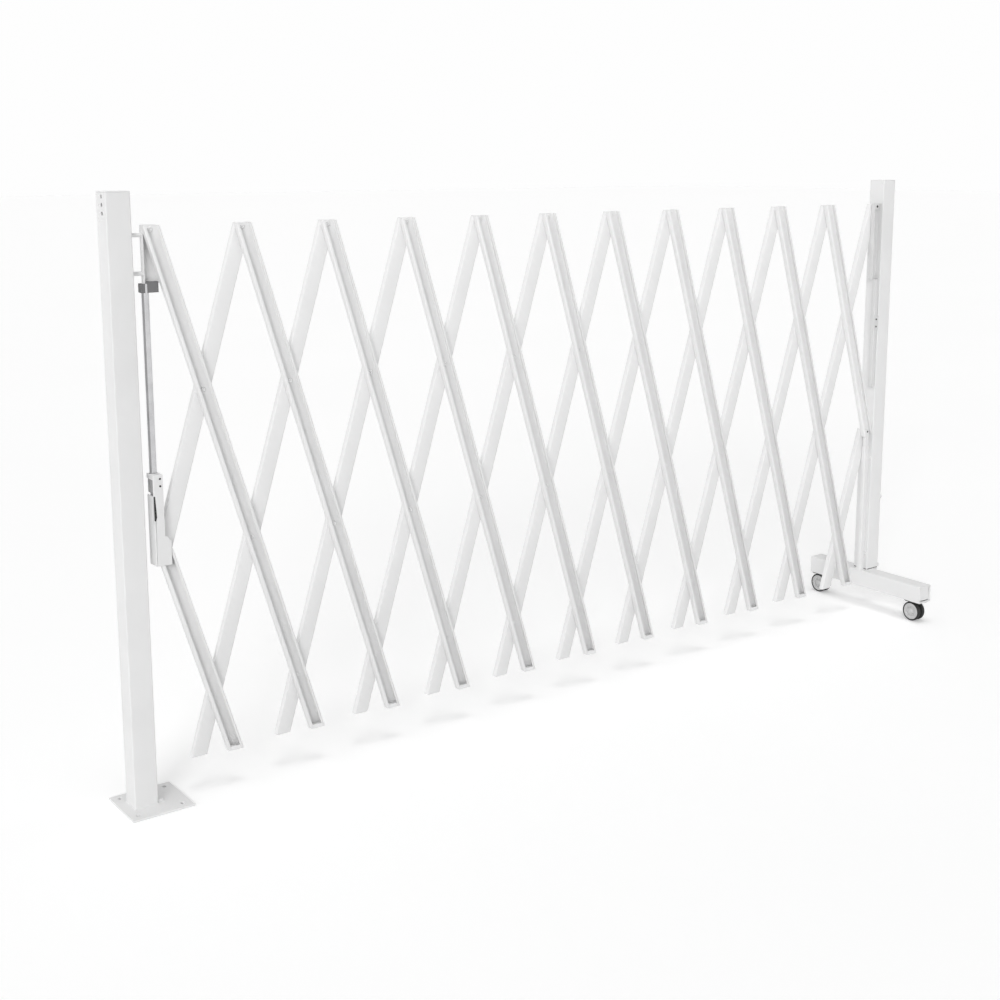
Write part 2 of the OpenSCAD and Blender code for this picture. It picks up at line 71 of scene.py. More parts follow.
# Half the gap between the two layers, and how far the outer face of a web is from the middle
HALF_GAP = 0.25 * MM
WEB = HALF_GAP + SHEET

# Moulded plug in the foot of a bar
PLUG_PLAY = 0.15 * MM
PLUG_UP = 10 * MM
PLUG_OUT = 2 * MM
PLUG_ROUND = 1.4 * MM
PLUG_BREAK = 0.3 * MM
PLUG_CORNER_DEG = 50

# The lattice as the frame has it: top pivots, half a cell across and one level down
PIVOT_0 = joint_at["fold"]
STEP = joint_at["pivot_back_bar_1"] - PIVOT_0
HALF_CELL, LEVEL = STEP.x, -STEP.z
PITCH = math.hypot(HALF_CELL, LEVEL)
TILT = math.atan2(HALF_CELL, LEVEL)
SLIDER_LEVEL = 2
LOWEST = 3
LAST_BAR = 10

# The two layers: open to the viewer, and turned round behind it
FRONT, BACK = -1, 1
LAYER_NAME = {FRONT: "front", BACK: "back"}

# Tolerances of the mesh work; below FLAT_DEG faces are one, above CORNER_DEG an edge is broken,
# and up to the other angles it is shaded smooth
WELD = 3e-6
CUT_TOLERANCE = 1e-7
FLAT_DEG = 0.4
CORNER_DEG = 30
SMOOTH_DEG = 35
BAR_SMOOTH_DEG = 50
PLUG_SMOOTH_DEG = 40
BEAD_SMOOTH_DEG = 60
BOLT_SMOOTH_DEG = 20


# Materials

def shader(name):
    """A new material with its node tree, main shader and object coordinates."""
    material = bpy.data.materials.new(name)
    material.use_nodes = True
    tree = material.node_tree
    main = tree.nodes["Principled BSDF"]
    coords = tree.nodes.new("ShaderNodeTexCoord")
    return material, tree, main, coords.outputs["Object"]


def noise(tree, coords, scale, detail=2.0, stretch=None):
    """Noise with features of about 1 / scale metres, stretched along an axis if asked."""
    texture = tree.nodes.new("ShaderNodeTexNoise")
    texture.inputs["Scale"].default_value = scale
    texture.inputs["Detail"].default_value = detail
    if stretch:
        mapping = tree.nodes.new("ShaderNodeMapping")
        mapping.inputs["Scale"].default_value = stretch
        tree.links.new(coords, mapping.inputs["Vector"])
        coords = mapping.outputs["Vector"]
    tree.links.new(coords, texture.inputs["Vector"])
    return texture.outputs["Fac"]


# The part of a noise's range that tint and spread use
NOISE_LOW, NOISE_HIGH = 0.3, 0.7


def tint(tree, factor, dark, light):
    """Colour between two shades, by a noise."""
    ramp = tree.nodes.new("ShaderNodeValToRGB")
    low, high = ramp.color_ramp.elements
    low.position, high.position = NOISE_LOW, NOISE_HIGH
    low.color, high.color = (*dark, 1), (*light, 1)
    tree.links.new(factor, ramp.inputs["Fac"])
    return ramp.outputs["Color"]


def spread(tree, factor, low, high):
    """Value between two limits, by a noise."""
    ranged = tree.nodes.new("ShaderNodeMapRange")
    ranged.inputs["From Min"].default_value = NOISE_LOW
    ranged.inputs["From Max"].default_value = NOISE_HIGH
    ranged.inputs["To Min"].default_value = low
    ranged.inputs["To Max"].default_value = high
    tree.links.new(factor, ranged.inputs["Value"])
    return ranged.outputs["Result"]


def bump(tree, main, height, strength, depth):
    """Surface relief from a height."""
    relief = tree.nodes.new("ShaderNodeBump")
    relief.inputs["Strength"].default_value = strength
    relief.inputs["Distance"].default_value = depth
    tree.links.new(height, relief.inputs["Height"])
    tree.links.new(relief.outputs["Normal"], main.inputs["Normal"])


SHEEN_FINER = 7
COAT_ROUGH = 0.25


def finish_of(name, dark, light, rough, grain, relief, metal=0.0, patch=6.0, stretch=None,
              coat=0.0, gloss=0.5):
    """One finish: slow colour drift, uneven sheen and a fine surface grain.

    patch and grain are noise scales; rough is a range; relief is a strength and a depth."""
    material, tree, main, coords = shader(name)
    drift = noise(tree, coords, patch, 3.0)
    tree.links.new(tint(tree, drift, dark, light), main.inputs["Base Color"])
    sheen = noise(tree, coords, patch * SHEEN_FINER, 3.0, stretch)
    tree.links.new(spread(tree, sheen, *rough), main.inputs["Roughness"])
    bump(tree, main, noise(tree, coords, grain, 2.0, stretch), *relief)
    main.inputs["Metallic"].default_value = metal
    main.inputs["Specular IOR Level"].default_value = gloss
    main.inputs["Coat Weight"].default_value = coat
    main.inputs["Coat Roughness"].default_value = COAT_ROUGH
    return material


def grey(value, cool=0.0):
    """A grey, with a little more blue if asked."""
    return (value, value, value + cool)


POWDER = {"grain": 700, "relief": (0.16, 0.12 * MM)}
PAINT = {"grain": 900, "relief": (0.2, 0.1 * MM)}
PLASTIC = {"grain": 1400, "relief": (0.25, 0.1 * MM)}

# By material slot; the last two are for pieces that differ from their slot's finish, and the
# bracket one is a darker copy of the white coat with painted shade in it
finishes = {
    "white_post": finish_of("white_powder_coat", grey(0.80), grey(0.84), (0.38, 0.5),
                            coat=0.05, gloss=0.25, **POWDER),
    "white_bar": finish_of("white_bar_coat", grey(0.815), grey(0.855), (0.36, 0.5),
                           coat=0.1, **POWDER),
    "rivet_steel": finish_of("painted_rivet", grey(0.80), grey(0.87), (0.34, 0.46),
                             patch=60, coat=0.1, **PAINT),
    "rod_steel": finish_of("drawn_rod", grey(0.56, 0.01), grey(0.68, 0.01), (0.16, 0.3),
                           grain=500, relief=(0.2, 0.05 * MM), metal=1.0, patch=30,
                           stretch=(1, 1, 0.04)),
    "bush_grey": finish_of("bush_plastic", grey(0.16, 0.004), grey(0.2, 0.004), (0.45, 0.6),
                           **PLASTIC),
    "castor_black": finish_of("castor_black_paint", grey(0.012), grey(0.022), (0.25, 0.42),
                              patch=40, **PAINT),
    "disc_grey": finish_of("wheel_disc", grey(0.54), grey(0.62), (0.4, 0.55),
                           grain=1400, relief=(0.2, 0.1 * MM), patch=40),
    "tyre_rubber": finish_of("tyre_rubber", grey(0.014), grey(0.026), (0.6, 0.85),
                             grain=1100, relief=(0.5, 0.2 * MM), patch=60),
    "slider_plastic": finish_of("slider_plastic", grey(0.34, 0.004), grey(0.4, 0.004),
                                (0.45, 0.6), **PLASTIC),
    # Darker white coat for the mobile bracket and rail: painted shade, for parts that lie in shadow
    "bracket_shaded_coat": finish_of("bracket_shaded_coat", grey(0.68), grey(0.73), (0.4, 0.52),
                              coat=0.05, gloss=0.3, **POWDER),
}


# Mesh helpers

def shade(mesh, smooth_deg, quads_only=False):
    """Shade a mesh smooth, apart from edges where faces meet at more than an angle."""
    for polygon in mesh.polygons:
        polygon.use_smooth = not quads_only or len(polygon.vertices) == 4
    mesh.set_sharp_from_angle(angle=math.radians(smooth_deg))


def mesh_from(name, bm, smooth_deg, quads_only=False):
    """Turn a bmesh into a shaded mesh whose normals point outward."""
    bmesh.ops.recalc_face_normals(bm, faces=bm.faces[:])
    mesh = bpy.data.meshes.new(name)
    bm.to_mesh(mesh)
    bm.free()
    shade(mesh, smooth_deg, quads_only)
    return mesh


def place_mesh(name, mesh, body, slot, place=None, material=None):
    """Put a mesh into the scene as a piece that rides on a body."""
    if not mesh.materials:
        mesh.materials.append(material or finishes[slot])
    made = bpy.data.objects.new(name, mesh)
    bpy.context.scene.collection.objects.link(made)
    if place is not None:
        made.matrix_world = place
    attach(made, body)
    return made


def piece(name, bm, body, slot, smooth_deg=SMOOTH_DEG):
    """Turn a bmesh into a piece that rides on a body, with the finish of its slot."""
    return place_mesh(name, mesh_from(name, bm, smooth_deg), body, slot)


def in_mm(points, base=0.0):
    """Profile points given in millimetres, their radii counted from a base radius."""
    return [(base + radius * MM, height * MM) for radius, height in points]


def add_lathe(bm, profile, centre, axis, steps=32):
    """Revolve (radius, height) points about an axis; a radius of 0 closes the end."""
    turn = axis.to_track_quat("Z", "X").to_matrix()
    rings = []
    for radius, height in profile:
        if radius <= 0:
            rings.append([bm.verts.new(centre + turn @ Vector((0, 0, height)))])
        else:
            rings.append([bm.verts.new(centre + turn @ Vector((
                radius * math.cos(2 * math.pi * i / steps),
                radius * math.sin(2 * math.pi * i / steps), height))) for i in range(steps)])
    for a, b in zip(rings, rings[1:]):
        for i in range(steps):
            j = (i + 1) % steps
            corners = [a[i % len(a)], a[j % len(a)], b[j % len(b)], b[i % len(b)]]
            unique = list(dict.fromkeys(corners))
            if len(unique) > 2:
                bm.faces.new(unique)


def join_rings(bm, a, b):
    """Faces between two closed rings with equal numbers of vertices."""
    for i in range(len(a)):
        j = (i + 1) % len(a)
        bm.faces.new((a[i], a[j], b[j], b[i]))


def add_cube(bm, centre, size):
    """A box by its centre and its three sizes."""
    return bmesh.ops.create_cube(
        bm, size=1.0, matrix=Matrix.Translation(centre) @ Matrix.Diagonal((*size, 1)))


def add_box(bm, low, high, round_edges=0.0):
    """A box between two corners, its edges rounded if asked."""
    low, high = Vector(low), Vector(high)
    made = add_cube(bm, (low + high) / 2, high - low)
    if round_edges:
        edges = list(dict.fromkeys(e for v in made["verts"] for e in v.link_edges))
        bmesh.ops.bevel(bm, geom=edges, offset=round_edges, segments=3, affect="EDGES")


def edges_along(bm, axis):
    """The edges of a box that run along one axis."""
    return [e for e in bm.edges if abs(e.verts[0].co[axis] - e.verts[1].co[axis]) > MM]


def cut_away(bm, spot, outward):
    """Cut off what lies beyond a plane and close the cut."""
    cut = bmesh.ops.bisect_plane(bm, geom=bm.verts[:] + bm.edges[:] + bm.faces[:],
                                 clear_outer=True, dist=CUT_TOLERANCE,
                                 plane_co=spot, plane_no=outward)
    rim = [e for e in cut["geom_cut"] if isinstance(e, bmesh.types.BMEdge)]
    bmesh.ops.contextual_create(bm, geom=rim)


def carved(name, cutter):
    """Mesh of a CAD node with the volume of a bmesh taken away."""
    bmesh.ops.recalc_face_normals(cutter, faces=cutter.faces[:])
    whole = bmesh.new()
    whole.from_mesh(nodes[name].data)
    bmesh.ops.remove_doubles(whole, verts=whole.verts[:], dist=WELD)
    helpers = []
    for label, bm in (("whole", whole), ("cutter", cutter)):
        helper_mesh = bpy.data.meshes.new(name + "_" + label)
        bm.to_mesh(helper_mesh)
        bm.free()
        helper = bpy.data.objects.new(name + "_" + label, helper_mesh)
        bpy.context.scene.collection.objects.link(helper)
        helpers.append(helper)
    base, tool = helpers
    cut = base.modifiers.new("cut", "BOOLEAN")
    cut.operation = "DIFFERENCE"
    cut.object = tool
    cut.solver = "EXACT"
    cut.use_self = True
    depsgraph = bpy.context.evaluated_depsgraph_get()
    mesh = bpy.data.meshes.new_from_object(base.evaluated_get(depsgraph))
    for helper in helpers:
        bpy.data.objects.remove(helper)
    return mesh


def dress(name, edge=0.4 * MM, mesh=None, material=None):
    """Finish a CAD node: its form, or a given one, with every sharp edge broken."""
    mesh = mesh or nodes[name].data.copy()
    mesh.name = name + "_form"
    mesh.materials.clear()
    bm = bmesh.new()
    bm.from_mesh(mesh)
    bmesh.ops.remove_doubles(bm, verts=bm.verts[:], dist=WELD)
    bmesh.ops.dissolve_limit(bm, angle_limit=math.radians(FLAT_DEG),
                             verts=bm.verts[:], edges=bm.edges[:])
    layers = bm.edges.layers.float
    weights = layers.get("bevel_weight_edge") or layers.new("bevel_weight_edge")
    for e in bm.edges:
        corner = len(e.link_faces) == 2 and e.calc_face_angle(0) > math.radians(CORNER_DEG)
        e[weights] = 1.0 if corner else 0.0
    bm.to_mesh(mesh)
    bm.free()
    shade(mesh, SMOOTH_DEG)
    made = place_mesh(name + "_finish", mesh, body_of_node[name], slot_of_node[name],
                      material=material)
    rounding = made.modifiers.new("edge_break", "BEVEL")
    rounding.limit_method = "WEIGHT"
    rounding.width = edge
    rounding.segments = 2
    rounding.use_clamp_overlap = False
    rounding.harden_normals = True
    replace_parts(made, name)


# Small hardware: black discs painted as the shade inside holes, screws and welds

HOLE_SHADE_PROFILE = [(0, 0.1), (0.8, 0.1), (0.86, 1), (1, 0.8), (1.06, 0)]
SCREW_PROFILE = [(0, 0), (0.98, 0), (1, 0.12), (0.93, 0.4), (0.7, 0.6), (0.45, 0.66),
                 (0.4, 0.62), (0.38, 0.2), (0, 0.18)]
BEAD_SIDES = 8
BEAD_RIPPLE = 1.6 * MM
BEAD_SWELL = 0.09
BEAD_DRIFT = 0.08
BEAD_DRIFT_STEP = 0.37


def hole_shade(name, body, centre, axis, radius, depth=0.6 * MM):
    """A black disc with a rolled rim, lying on a face: painted shade for the dark inside of a hole.
    """
    bm = bmesh.new()
    add_lathe(bm, [(r * radius, h * depth) for r, h in HOLE_SHADE_PROFILE], centre, axis, steps=24)
    piece(name, bm, body, "castor_black")


def screw(name, body, centre, axis, radius):
    """A black pan head with a socket, lying on a face."""
    bm = bmesh.new()
    add_lathe(bm, [(r * radius, h * radius) for r, h in SCREW_PROFILE], centre, axis, steps=24)
    piece(name, bm, body, "castor_black")


def bead(name, body, corners, radius):
    """A rippled weld bead that closes round some corners."""
    bm = bmesh.new()
    track = []
    for a, b in zip(corners, corners[1:] + corners[:1]):
        count = max(2, round((b - a).length / (BEAD_RIPPLE / 2)))
        track += [a.lerp(b, i / count) for i in range(count)]
    rings = []
    turns = [2 * math.pi * k / BEAD_SIDES for k in range(BEAD_SIDES)]
    for i, centre in enumerate(track):
        along = (track[(i + 1) % len(track)] - track[i - 1]).normalized()
        side = along.cross(Z).normalized()
        up = side.cross(along)
        swell = 1 + BEAD_SWELL * math.cos(math.pi * i) + BEAD_DRIFT * math.sin(i * BEAD_DRIFT_STEP)
        rings.append([bm.verts.new(centre + (side * math.cos(t) + up * math.sin(t))
                                   * radius * swell) for t in turns])
    for a, b in zip(rings, rings[1:] + rings[:1]):
        join_rings(bm, a, b)
    piece(name, bm, body, "white_post", BEAD_SMOOTH_DEG)


# Lattice: meshes of the bars and of their plugs

def rounded_path(corners, radius, steps=4):
    """An open path whose inner corners are replaced by arcs."""
    path = [Vector(corners[0])]
    for before, corner, after in zip(corners, corners[1:], corners[2:]):
        corner = Vector(corner)
        to_before = (Vector(before) - corner).normalized()
        to_after = (Vector(after) - corner).normalized()
        middle = corner + (to_before + to_after) * radius
        for i in range(steps + 1):
            angle = math.pi / 2 * i / steps
            path.append(middle - to_after * radius * math.cos(angle)
                        - to_before * radius * math.sin(angle))
    path.append(Vector(corners[-1]))
    return path


def channel_outline():
    """Closed outline of a folded channel: web on the X axis, open towards +Y, lips turned in."""
    half, tip = BAR_WIDTH / 2, BAR_WIDTH / 2 - LIP
    inside, brink = half - SHEET, BAR_DEPTH - SHEET
    outer = rounded_path([(-tip, BAR_DEPTH), (-half, BAR_DEPTH), (-half, 0), (half, 0),
                          (half, BAR_DEPTH), (tip, BAR_DEPTH)], BEND_OUT)
    inner = rounded_path([(tip, brink), (inside, brink), (inside, SHEET), (-inside, SHEET),
                          (-inside, brink), (-tip, brink)], BEND_IN)
    return outer + inner


def level_of(side):
    """The upward direction in the frame of a bar, which leans by TILT."""
    return Matrix.Rotation(-side * TILT, 3, "Y") @ Z


def bar_mesh(name, side, top_level, low_level):
    """A bar in its own frame: top pivot of the lattice at the origin, running down -Z."""
    bm = bmesh.new()
    footed = low_level == LOWEST
    end = -low_level * PITCH - (BAR_FOOT if footed else BAR_STUB)
    heights = [end - (BAR_WIDTH if footed else 0), -top_level * PITCH + BAR_WIDTH]
    rings = [[bm.verts.new((p.x, side * (p.y + HALF_GAP), z)) for p in channel_outline()]
             for z in heights]
    join_rings(bm, *rings)
    bm.faces.new(rings[0])
    # Head and foot are cut level
    level = level_of(side)
    cut_away(bm, Vector((0, 0, -top_level * PITCH)) + level * BAR_HEAD, level)
    if footed:
        cut_away(bm, Vector((0, 0, end)), -level)
    rims = [e for e in bm.edges
            if len(e.link_faces) == 2 and any(len(f.verts) > 4 for f in e.link_faces)]
    bmesh.ops.bevel(bm, geom=rims, offset=BAR_BREAK, segments=1, affect="EDGES",
                    clamp_overlap=True)
    return mesh_from(name, bm, BAR_SMOOTH_DEG, quads_only=True)


def plug_mesh(name, side):
    """Moulded plug in the foot of a bar: fills the channel and the mouth between its lips."""
    bm = bmesh.new()
    wide = BAR_WIDTH / 2 - SHEET - PLUG_PLAY
    mouth = BAR_WIDTH / 2 - LIP - PLUG_PLAY
    back = SHEET + PLUG_PLAY / 2
    lips = BAR_DEPTH - SHEET - PLUG_PLAY
    front = BAR_DEPTH - 3 * PLUG_PLAY
    outline = [(-wide, back), (wide, back), (wide, lips), (mouth, lips), (mouth, front),
               (-mouth, front), (-mouth, lips), (-wide, lips)]
    end = -LOWEST * PITCH - BAR_FOOT
    foot = Vector((0, 0, end))
    join_rings(bm, *[[bm.verts.new((x, side * (y + HALF_GAP), end + dz)) for x, y in outline]
                     for dz in (-BAR_WIDTH, BAR_WIDTH)])
    level = level_of(side)
    cut_away(bm, foot + level * PLUG_UP, level)
    cut_away(bm, foot - level * PLUG_OUT, -level)
    bmesh.ops.recalc_face_normals(bm, faces=bm.faces[:])
    # Only the rim of the lower cut, PLUG_OUT below the foot, is as low as this
    under = level.dot(foot) - 0.9 * PLUG_OUT
    low_rim = [e for e in bm.edges if max(level.dot(v.co) for v in e.verts) < under]
    bmesh.ops.bevel(bm, geom=low_rim, offset=PLUG_ROUND, segments=3, affect="EDGES")
    sharp = [e for e in bm.edges if e.calc_face_angle(0) > math.radians(PLUG_CORNER_DEG)]
    bmesh.ops.bevel(bm, geom=sharp, offset=PLUG_BREAK, segments=1, affect="EDGES")
    return mesh_from(name, bm, PLUG_SMOOTH_DEG)


# Lattice: placing the bars, one mesh for each kind

def bar_place(k, side):
    """Frame of the bar whose top pivot is number k; a front bar leans to the right going down."""
    spot = Vector((PIVOT_0.x + 2 * k * HALF_CELL, PIVOT_0.y, PIVOT_0.z))
    return Matrix.Translation(spot) @ Matrix.Rotation(side * TILT, 4, "Y")


bar_kinds = {}
plugs = {}


def add_bar(name, k, side, top_level=0, low_level=LOWEST):
    """Bar k of a layer between two levels, with a plug where it has a foot."""
    kind = (side, top_level, low_level)
    if kind not in bar_kinds:
        bar_kinds[kind] = bar_mesh("%s_bar_%d_%d" % (LAYER_NAME[side], top_level, low_level),
                                   *kind)
    made = place_mesh(name + "_folded", bar_kinds[kind], name, "white_bar", bar_place(k, side))
    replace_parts(made, name)
    if low_level == LOWEST:
        if side not in plugs:
            plugs[side] = plug_mesh(LAYER_NAME[side] + "_foot_plug", side)
        place_mesh(name + "_plug", plugs[side], name, "white_bar", bar_place(k, side))


# Front bar 10 ends at the mobile slider and back bar 1 at the fixed one, where short bars go on
for k in range(LAST_BAR):
    add_bar("front_bar_%d" % k, k, FRONT)
add_bar("front_bar_10", LAST_BAR, FRONT, low_level=SLIDER_LEVEL)
add_bar("front_bar_short", -1, FRONT, top_level=SLIDER_LEVEL)
for k in range(2, LAST_BAR + 2):
    add_bar("back_bar_%d" % k, k, BACK)
add_bar("back_bar_1", 1, BACK, low_level=SLIDER_LEVEL)
add_bar("back_bar_short", LAST_BAR + 2, BACK, top_level=SLIDER_LEVEL)


# Rivets. Profiles are radius and height in mm: rolled hollow head, flush head and flat tail

HEAD = [(0, 1.5), (1.7, 1.5), (2.1, 1.8), (2.5, 2.35), (3.1, 2.7), (3.9, 2.8), (4.9, 2.6),
        (5.8, 1.95), (6.35, 1.0), (6.5, 0)]
FLUSH = [(0, 0.3), (4.4, 0.3), (4.8, 0.2), (5.0, 0)]
TAIL = [(0, 2.8), (2.6, 2.75), (4.4, 2.4), (5.5, 1.6), (6.0, 0.7), (6.0, 0)]
TAIL_HEIGHT = 2.8 * MM
TAIL_GAP = 0.2 * MM
SHANK = 4 * MM
PIN_TIP = [(0, 0), (3.6, 0), (4, 0.4)]
PIN_PROUD = 0.2 * MM


def rivet_at(bm, spot, head, back_face=PIVOT_0.y + WEB + TAIL_GAP):
    """One rivet through both webs: head in front, if it has one, and flat tail behind."""
    front_face = PIVOT_0.y - WEB
    front = Vector((spot.x, front_face, spot.z))
    if head:
        add_lathe(bm, in_mm(head), front, -Y)
    add_lathe(bm, [(SHANK, 0), (SHANK, back_face - front_face)], front, Y, steps=24)
    add_lathe(bm, in_mm(TAIL), Vector((spot.x, back_face, spot.z)), Y)


def rivet_spot(k, n):
    """Where front bar k is riveted at level n."""
    return Vector((PIVOT_0.x + (2 * k + n) * HALF_CELL, 0, PIVOT_0.z - n * LEVEL))


def add_rivets(node, bm):
    """The rivets of one front bar, in place of their CAD node."""
    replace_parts(piece(node + "_set", bm, body_of_node[node], "rivet_steel"), node)


# The first rivet of bar 0 also goes through the bracket, so its tail is further back. The lowest
# rivets are flush in front, as the photo shows them.
for k in range(LAST_BAR):
    rivets = bmesh.new()
    for n in range(LOWEST + 1):
        if k == 0 and n == 0:
            rivet_at(rivets, rivet_spot(k, n), HEAD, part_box("rivets_0")[1].y - TAIL_HEIGHT)
        else:
            rivet_at(rivets, rivet_spot(k, n), FLUSH if n == LOWEST else HEAD)
    add_rivets("rivets_%d" % k, rivets)

# Bar 10 has two rivets and the pin of the mobile slider, which has a bevelled tip
rivets = bmesh.new()
for n in range(SLIDER_LEVEL):
    rivet_at(rivets, rivet_spot(LAST_BAR, n), HEAD)
slider_pin = joint_at["pivot_mobile_slider"]
slider_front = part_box("mobile_slider")[0].y
pin_end = Vector((slider_pin.x, slider_front - PIN_PROUD, slider_pin.z))
rivet_at(rivets, slider_pin, None)
add_lathe(rivets, in_mm(PIN_TIP) + [(SHANK, slider_pin.y - slider_front)], pin_end, Y,
          steps=24)
add_rivets("rivets_10", rivets)

rivets = bmesh.new()
rivet_at(rivets, rivet_spot(-1, LOWEST), FLUSH)
add_rivets("rivet_short", rivets)


# Fixed end

dress("fixed_post", edge=0.3 * MM)
dress("fixed_post_cap", edge=0.8 * MM)
dress("base_plate", edge=0.9 * MM)
dress("fixed_top_bracket")
dress("rod_bush", edge=0.8 * MM)
dress("slider_bush", edge=0.6 * MM, material=finishes["slider_plastic"])
dress("fixed_guide_rod", edge=1.2 * MM)

# Weld round the foot of the post
WELD_BEAD = 1.8 * MM
low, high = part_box("fixed_post")
bead("post_foot_weld", "fixed_frame",
     [Vector((x, y, low.z)) for x, y in ((low.x, low.y), (high.x, low.y), (high.x, high.y),
                                         (low.x, high.y))], WELD_BEAD)

# Slider: the window opens the whole wall, a tapered slit and a seam part the wall from the flange,
# and the rod stands in a wider hole
PLATE = 2.5 * MM
WINDOW_DROP = 12 * MM
WINDOW_HIGH = 40 * MM
WINDOW_EDGE = 0.6 * MM
SLIT_HIGH = 64 * MM
SLIT_MOUTH = 4.2 * MM
SLIT_BELLY = 7.2 * MM
SLIT_BELLY_UP = 12 * MM
SLIT_TOE_UP = 2 * MM
SEAM_WIDE = 0.8 * MM
SEAM_DEEP = 1.6 * MM
HOLE_ROOM = 1.7 * MM
OVERCUT = 0.1 * MM

slider_low, slider_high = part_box("fixed_slider")
rod_low, rod_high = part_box("fixed_guide_rod")
rod_axis = (rod_low + rod_high) / 2
rod_radius = rod_high.x - rod_axis.x
left, front, top = slider_low.x, slider_low.y, slider_high.z
rod_top = Vector((rod_axis.x, rod_axis.y, top))
window_high = top - WINDOW_DROP
window_low = window_high - WINDOW_HIGH
slit_low = window_low - SLIT_HIGH

cutter = bmesh.new()
add_box(cutter, (left - MM, front + PLATE + WINDOW_EDGE, window_low),
        (left + PLATE + OVERCUT, slider_high.y, window_high))
slit = [(left - MM, window_low + OVERCUT), (left + SLIT_MOUTH, window_low + OVERCUT),
        (left + SLIT_BELLY, slit_low + SLIT_BELLY_UP), (left + SLIT_MOUTH, slit_low + SLIT_TOE_UP),
        (left - MM, slit_low)]
slit_ends = [[cutter.verts.new((x, y, z)) for x, z in slit]
             for y in (front - MM, front + PLATE + WINDOW_EDGE + OVERCUT)]
join_rings(cutter, *slit_ends)
for ring in slit_ends:
    cutter.faces.new(ring)
add_box(cutter, (left + PLATE, front - MM, slider_low.z - MM),
        (left + PLATE + SEAM_WIDE, front + SEAM_DEEP, slit_low + MM))
hole = rod_radius + HOLE_ROOM
add_lathe(cutter, [(0, -PLATE - MM), (hole, -PLATE - MM), (hole, MM), (0, MM)], rod_top, Z,
          steps=48)
dress("fixed_slider", edge=0.3 * MM, mesh=carved("fixed_slider", cutter))

# Black block behind the slit, painted shade seen through it, reaching in from the left face and
# back from the front face
SLIT_SHADE_RIGHT = 9 * MM
SLIT_SHADE_BACK = 12 * MM
SLIT_SHADE_ROUND = 0.6 * MM
slit_shade = bmesh.new()
add_box(slit_shade, (left + PLATE + OVERCUT, front + PLATE + OVERCUT, slit_low + SLIT_TOE_UP),
        (left + SLIT_SHADE_RIGHT, front + SLIT_SHADE_BACK, window_low - MM), SLIT_SHADE_ROUND)
piece("slider_slit_shade", slit_shade, "fixed_slider", "castor_black")

# Black wiper ring sunk in the gap round the rod, which also paints the shade of that gap; radii
# count from the rod and heights from the top of the slider
WIPER_SHADE_IN = [(0.2, -2.4), (0.2, -1.4), (0.5, -1.0)]
WIPER_SHADE_OUT = [(HOLE_ROOM / MM - 0.1, -1.8), (HOLE_ROOM / MM - 0.1, -2.4)]
wiper_shade = bmesh.new()
add_lathe(wiper_shade, in_mm(WIPER_SHADE_IN + WIPER_SHADE_OUT + WIPER_SHADE_IN[:1], rod_radius), rod_top, Z, steps=48)
bmesh.ops.remove_doubles(wiper_shade, verts=wiper_shade.verts[:], dist=WELD)
piece("slider_wiper_shade", wiper_shade, "fixed_slider", "castor_black")

# Screws that hold the bush in the slider
BUSH_SCREW = 2.6 * MM
BUSH_SCREW_IN = 17.5 * MM
BUSH_SCREW_DROP = 10 * MM
BUSH_SCREW_STEP = 18 * MM
for i in range(2):
    drop = BUSH_SCREW_DROP + BUSH_SCREW_STEP * i
    screw("slider_screw_%d" % i, "fixed_slider",
          Vector((left + BUSH_SCREW_IN, front, top - drop)), -Y, BUSH_SCREW)


# Mobile end

dress("mobile_post", edge=0.3 * MM)
dress("mobile_post_cap", edge=0.8 * MM)
# The bracket and the guide rail take the darker coat, which paints shade onto them
dress("mobile_top_bracket", material=finishes["bracket_shaded_coat"])
dress("mobile_guide_rail", edge=0.3 * MM, material=finishes["bracket_shaded_coat"])
dress("mobile_guide_tube", edge=0.3 * MM)
dress("mobile_slider", edge=0.8 * MM)
dress("castor_beam", edge=0.4 * MM)
dress("foot_gussets", edge=0.8 * MM)
dress("latch_knob", edge=1.2 * MM)

# Dark band between the beam and the foot of the post: the joint, with the shade of the gap under
# the post painted into it
FOOT_SEAM_SHADE_HIGH = 2.2 * MM
FOOT_SEAM_SHADE_PROUD = 0.3 * MM
FOOT_SEAM_SHADE_CORNER = 3 * MM
foot_low, foot_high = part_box("mobile_post")
seam_shade = bmesh.new()
add_cube(seam_shade, ((foot_low.x + foot_high.x) / 2, (foot_low.y + foot_high.y) / 2,
                foot_low.z + FOOT_SEAM_SHADE_HIGH / 2),
         (foot_high.x - foot_low.x + FOOT_SEAM_SHADE_PROUD, foot_high.y - foot_low.y + FOOT_SEAM_SHADE_PROUD,
          FOOT_SEAM_SHADE_HIGH))
bmesh.ops.bevel(seam_shade, geom=edges_along(seam_shade, 2), offset=FOOT_SEAM_SHADE_CORNER, segments=6,
                affect="EDGES")
piece("post_foot_seam_shade", seam_shade, "mobile_frame", "castor_black")

